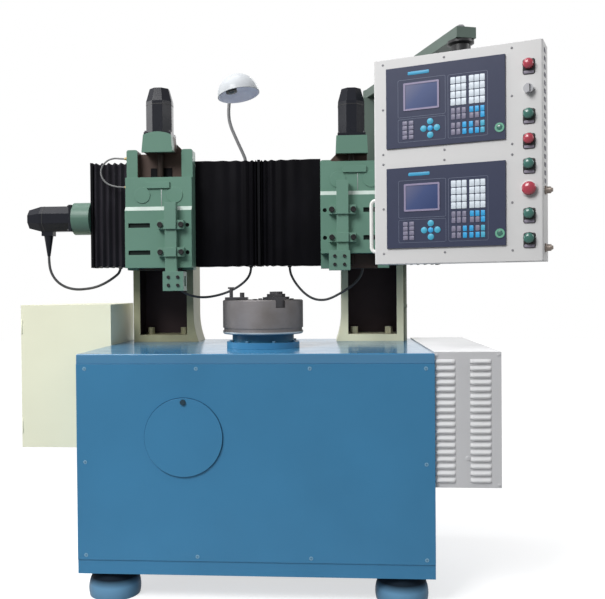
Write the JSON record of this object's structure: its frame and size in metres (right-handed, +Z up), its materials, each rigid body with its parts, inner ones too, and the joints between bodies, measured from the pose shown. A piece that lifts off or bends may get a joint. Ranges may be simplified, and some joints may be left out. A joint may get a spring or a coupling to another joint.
{
  "type": "flange facing lathe",
  "caption": "Upright-spindle flange facing lathe: box base, chuck, portal with cross beam, sliding tool heads on feed screws, and a control box hung from a swing arm.",
  "frame": {"origin": "on the floor, at the centre of the four levelling feet", "axes": "+X to the operator's right, +Y towards the back, +Z up along the spindle"},
  "size_m": [1.993, 1.0949, 1.9888],
  "materials": {
    "blue_paint": "semi-gloss enamel",
    "dark_blue_paint": "semi-gloss enamel",
    "cream_paint": "semi-gloss enamel",
    "green_paint": "semi-gloss enamel",
    "grey_paint": "satin paint",
    "beige_paint": "satin powder coat",
    "black_motor": "satin black",
    "bare_steel": "machined",
    "chuck_steel": "worn turned steel",
    "dark_steel": "blackened steel",
    "pulley_iron": "as machined",
    "zinc_steel": "zinc plated",
    "belt_rubber": "matt",
    "bellows_cloth": "coated cloth",
    "unit_plastic": "dark navy",
    "white_handle": "white",
    "red_plastic": "red",
    "green_plastic": "green",
    "silver_plastic": "silver",
    "lamp_white": "white enamel",
    "lamp_neck": "grey flexible tube",
    "bulb_glass": "frosted",
    "cable_black": "cable sheath",
    "gear_grey": "switchgear"
  },
  "bodies": {
    "machine": {"base_top_plate": "blue_paint", "base_floor": "blue_paint", "base_plates": "blue_paint", "front_cover": "blue_paint", "front_cover_screws": "zinc_steel", "levelling_feet": "dark_blue_paint", "spindle_housing": "dark_blue_paint", "main_motor": "black_motor", "drive_belt": "belt_rubber", "columns": "cream_paint", "cross_beam": "green_paint", "beam_guides": "bare_steel", "x_motor_adapters": "green_paint", "x_motors": "black_motor", "bellows_left": "bellows_cloth", "bellows_right": "bellows_cloth", "lamp_gooseneck": "lamp_neck", "electrical_cabinet": "cream_paint", "electrical_gear": "gear_grey", "drive_box": "grey_paint", "arm_post": "green_paint", "left_motor_cable": "cable_black", "left_hanging_cable": "cable_black", "right_hanging_cable": "cable_black"},
    "inspection_cover": {"inspection_cover": "blue_paint"},
    "cabinet_door": {"cabinet_door": "cream_paint"},
    "spindle": {"spindle_shaft": "bare_steel", "spindle_pulley": "pulley_iron", "chuck_body": "chuck_steel"},
    "jaw_1": {"jaw_1": "dark_steel"},
    "jaw_2": {"jaw_2": "dark_steel"},
    "jaw_3": {"jaw_3": "dark_steel"},
    "motor_pulley": {"motor_pulley": "pulley_iron"},
    "left_carriage": {"left_saddle": "green_paint", "left_z_motor": "black_motor", "left_z_screw": "bare_steel", "left_oil_line": "cable_black"},
    "left_tool_slide": {"left_slide": "green_paint", "left_tool_bar": "green_paint", "left_tool_block": "green_paint"},
    "right_carriage": {"right_saddle": "green_paint", "right_z_motor": "black_motor", "right_z_screw": "bare_steel"},
    "right_tool_slide": {"right_slide": "green_paint", "right_tool_bar": "green_paint", "right_tool_block": "green_paint"},
    "swing_arm": {"swing_arm": "green_paint"},
    "control_panel": {"control_box": "beige_paint", "cnc_units": "unit_plastic", "box_handle": "white_handle"},
    "lamp_head": {"lamp_shade": "lamp_white", "lamp_bulb": "bulb_glass"},
    "selector_knob": {"selector_knob": "silver_plastic"},
    "button_red_top": {"button_red_top": "red_plastic"},
    "button_green_upper": {"button_green_upper": "green_plastic"},
    "button_red_middle": {"button_red_middle": "red_plastic"},
    "button_green_middle": {"button_green_middle": "green_plastic"},
    "emergency_stop": {"emergency_stop": "red_plastic"},
    "button_green_lower": {"button_green_lower": "green_plastic"},
    "button_green_bottom": {"button_green_bottom": "green_plastic"}
  },
  "joints": [
    {"name": "inspection_swing", "type": "hinge", "parent": "machine", "child": "inspection_cover", "pos_m": [-0.246, -0.4233, 0.7085], "axis": [0, 1, 0], "range_deg": [-170, 170]},
    {"name": "cabinet_door_hinge", "type": "hinge", "parent": "machine", "child": "cabinet_door", "pos_m": [-1.01, 0.04, 0.7505], "axis": [0, 0, -1], "range_deg": [0, 110]},
    {"name": "chuck_spin", "type": "hinge", "parent": "machine", "child": "spindle", "pos_m": [0.01, -0.08, 0.92], "axis": [0, 0, 1], "continuous": true},
    {"name": "motor_spin", "type": "hinge", "parent": "machine", "child": "motor_pulley", "pos_m": [-0.33, 0.2, 0.42], "axis": [0, 0, 1], "continuous": true},
    {"name": "jaw_1_slide", "type": "slide", "parent": "spindle", "child": "jaw_1", "axis": [-1, 0, 0], "range_m": [-0.008, 0.01]},
    {"name": "jaw_2_slide", "type": "slide", "parent": "spindle", "child": "jaw_2", "axis": [0.5, -0.866, 0], "range_m": [-0.008, 0.01]},
    {"name": "jaw_3_slide", "type": "slide", "parent": "spindle", "child": "jaw_3", "axis": [0.5, 0.866, 0], "range_m": [-0.008, 0.01]},
    {"name": "left_x", "type": "slide", "parent": "machine", "child": "left_carriage", "axis": [1, 0, 0], "range_m": [-0.1, 0.13], "deforming": ["bellows_left"]},
    {"name": "right_x", "type": "slide", "parent": "machine", "child": "right_carriage", "axis": [1, 0, 0], "range_m": [-0.11, 0.1], "deforming": ["bellows_right"]},
    {"name": "left_z", "type": "slide", "parent": "left_carriage", "child": "left_tool_slide", "axis": [0, 0, 1], "range_m": [-0.06, 0.08]},
    {"name": "right_z", "type": "slide", "parent": "right_carriage", "child": "right_tool_slide", "axis": [0, 0, 1], "range_m": [-0.11, 0.03]},
    {"name": "arm_swing", "type": "hinge", "parent": "machine", "child": "swing_arm", "pos_m": [0.462, 0.33, 1.93], "axis": [0, 0, 1], "range_deg": [-20, 60]},
    {"name": "panel_swivel", "type": "hinge", "parent": "swing_arm", "child": "control_panel", "pos_m": [0.71539, -0.46877, 1.9], "axis": [0, 0, 1], "range_deg": [-40, 40]},
    {"name": "button_red_top_press", "type": "slide", "parent": "control_panel", "child": "button_red_top", "axis": [0.3746, 0.9272, 0], "range_m": [0, 0.004], "stiffness_N_per_m": 400, "springref_m": -0.001},
    {"name": "selector_turn", "type": "hinge", "parent": "control_panel", "child": "selector_knob", "pos_m": [0.89658, -0.64228, 1.7215], "axis": [0.3746, 0.9272, 0], "range_deg": [-45, 45]},
    {"name": "button_green_upper_press", "type": "slide", "parent": "control_panel", "child": "button_green_upper", "axis": [0.3746, 0.9272, 0], "range_m": [0, 0.004], "stiffness_N_per_m": 400, "springref_m": -0.001},
    {"name": "button_red_middle_press", "type": "slide", "parent": "control_panel", "child": "button_red_middle", "axis": [0.3746, 0.9272, 0], "range_m": [0, 0.004], "stiffness_N_per_m": 400, "springref_m": -0.001},
    {"name": "button_green_middle_press", "type": "slide", "parent": "control_panel", "child": "button_green_middle", "axis": [0.3746, 0.9272, 0], "range_m": [0, 0.004], "stiffness_N_per_m": 400, "springref_m": -0.001},
    {"name": "emergency_stop_press", "type": "slide", "parent": "control_panel", "child": "emergency_stop", "axis": [0.3746, 0.9272, 0], "range_m": [0, 0.004], "stiffness_N_per_m": 400, "springref_m": -0.001},
    {"name": "button_green_lower_press", "type": "slide", "parent": "control_panel", "child": "button_green_lower", "axis": [0.3746, 0.9272, 0], "range_m": [0, 0.004], "stiffness_N_per_m": 400, "springref_m": -0.001},
    {"name": "button_green_bottom_press", "type": "slide", "parent": "control_panel", "child": "button_green_bottom", "axis": [0.3746, 0.9272, 0], "range_m": [0, 0.004], "stiffness_N_per_m": 400, "springref_m": -0.001},
    {"name": "lamp_tilt", "type": "hinge", "parent": "machine", "child": "lamp_head", "pos_m": [-0.10806, 0.15144, 1.97271], "axis": [0.986, 0, 0.1668], "range_deg": [-45, 0]}
  ],
  "couplings": [
    {"joint": "motor_spin", "follows": "chuck_spin", "ratio": 1.75},
    {"joint": "jaw_2_slide", "follows": "jaw_1_slide", "ratio": 1},
    {"joint": "jaw_3_slide", "follows": "jaw_1_slide", "ratio": 1}
  ]
}
